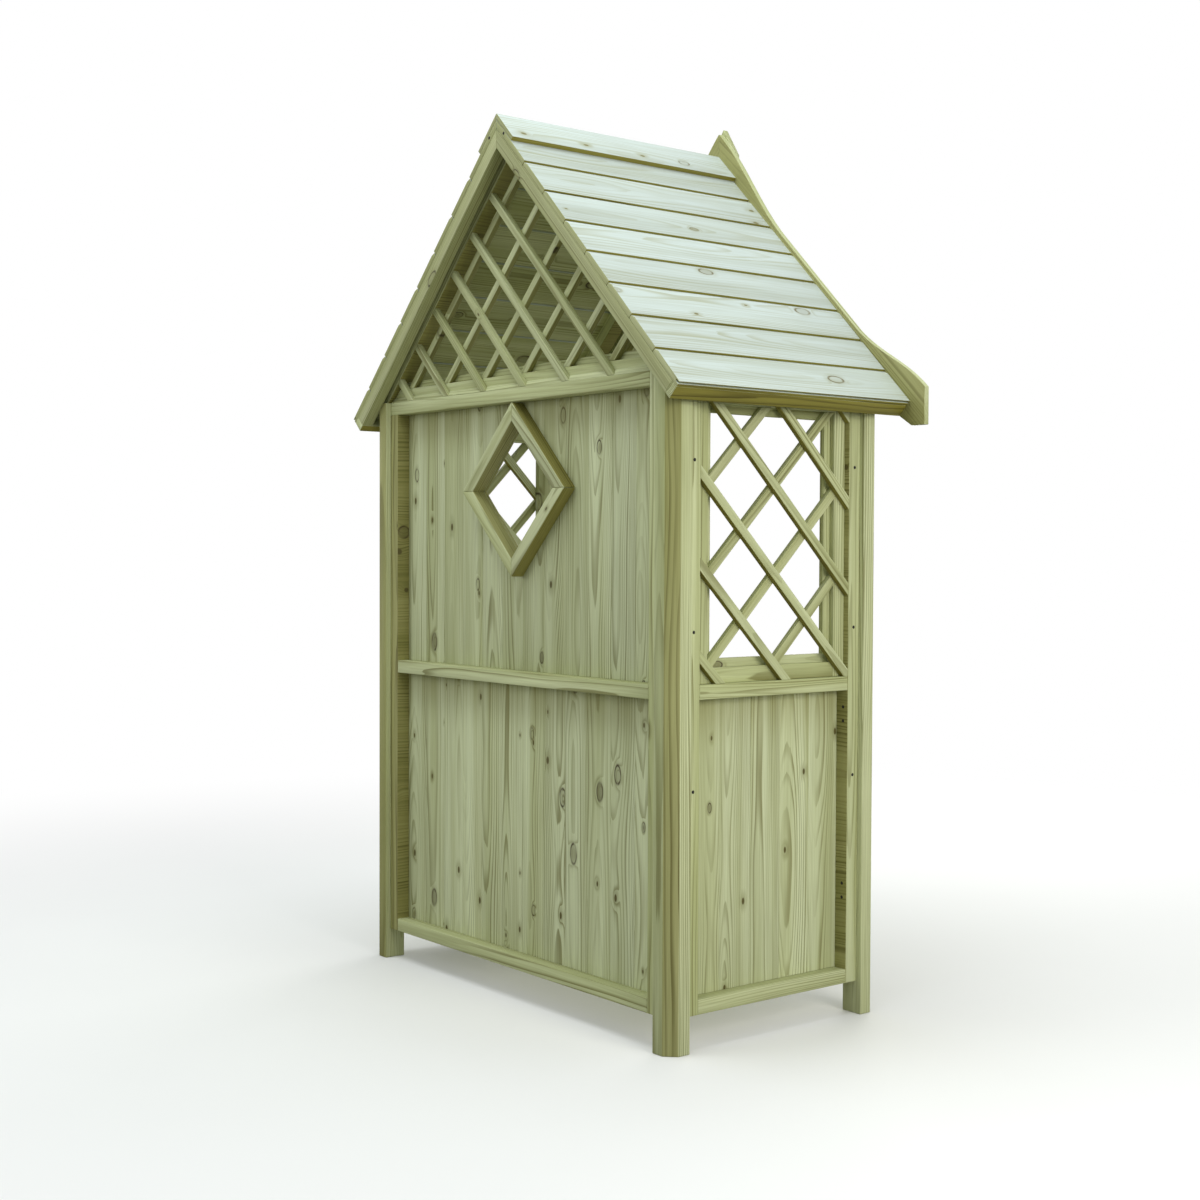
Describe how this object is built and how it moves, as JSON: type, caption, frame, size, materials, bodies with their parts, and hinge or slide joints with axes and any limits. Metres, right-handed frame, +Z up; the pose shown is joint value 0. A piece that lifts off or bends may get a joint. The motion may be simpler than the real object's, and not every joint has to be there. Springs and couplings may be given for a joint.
{
  "type": "garden arbour",
  "caption": "Timber garden arbour with lattice-topped side walls, a boarded back wall with a diamond window, an open front and a steep gable roof with swept bargeboards.",
  "frame": {"origin": "on the ground, below the middle of the whole, bargeboards included", "axes": "+Z up; the open front faces -Y, the back wall is at +Y, and X runs across the width"},
  "size_m": [1.4792, 0.77, 2.28],
  "materials": {
    "posts": "matte",
    "wall_frames": "matte",
    "cladding": "matte",
    "lattice": "matte",
    "window_bars": "matte",
    "roof_frame": "matte",
    "roof_boards": "matte",
    "bargeboards": "matte",
    "screws": "dull"
  },
  "bodies": {
    "root": {"post_back_left": "posts", "post_back_right": "posts", "post_front_left": "posts", "post_front_right": "posts", "back_stiles": "wall_frames", "back_top_rail": "wall_frames", "back_mid_rail": "wall_frames", "back_bottom_rail": "wall_frames", "back_cladding_upper": "cladding", "back_cladding_lower": "cladding", "window_bar_upper_left": "window_bars", "window_bar_upper_right": "window_bars", "window_bar_lower_left": "window_bars", "window_bar_lower_right": "window_bars", "left_stiles": "wall_frames", "left_top_rail": "wall_frames", "left_mid_rail": "wall_frames", "left_bottom_rail": "wall_frames", "left_cladding": "cladding", "left_lattice": "lattice", "right_stiles": "wall_frames", "right_top_rail": "wall_frames", "right_mid_rail": "wall_frames", "right_bottom_rail": "wall_frames", "right_cladding": "cladding", "right_lattice": "lattice", "back_rake_left": "roof_frame", "back_rake_right": "roof_frame", "back_gable_lattice": "lattice", "front_rake_left": "roof_frame", "front_rake_right": "roof_frame", "front_tie_rail": "roof_frame", "roof_boards_left": "roof_boards", "roof_boards_right": "roof_boards", "rafter_back_left": "roof_frame", "rafter_back_right": "roof_frame", "rafter_front_left": "roof_frame", "rafter_front_right": "roof_frame", "eaves_rail_left": "roof_frame", "eaves_rail_right": "roof_frame", "ridge_cap_left": "roof_boards", "ridge_cap_right": "roof_boards", "bargeboard_left": "bargeboards", "bargeboard_right": "bargeboards", "apex_plate": "bargeboards"}
  },
  "joints": []
}
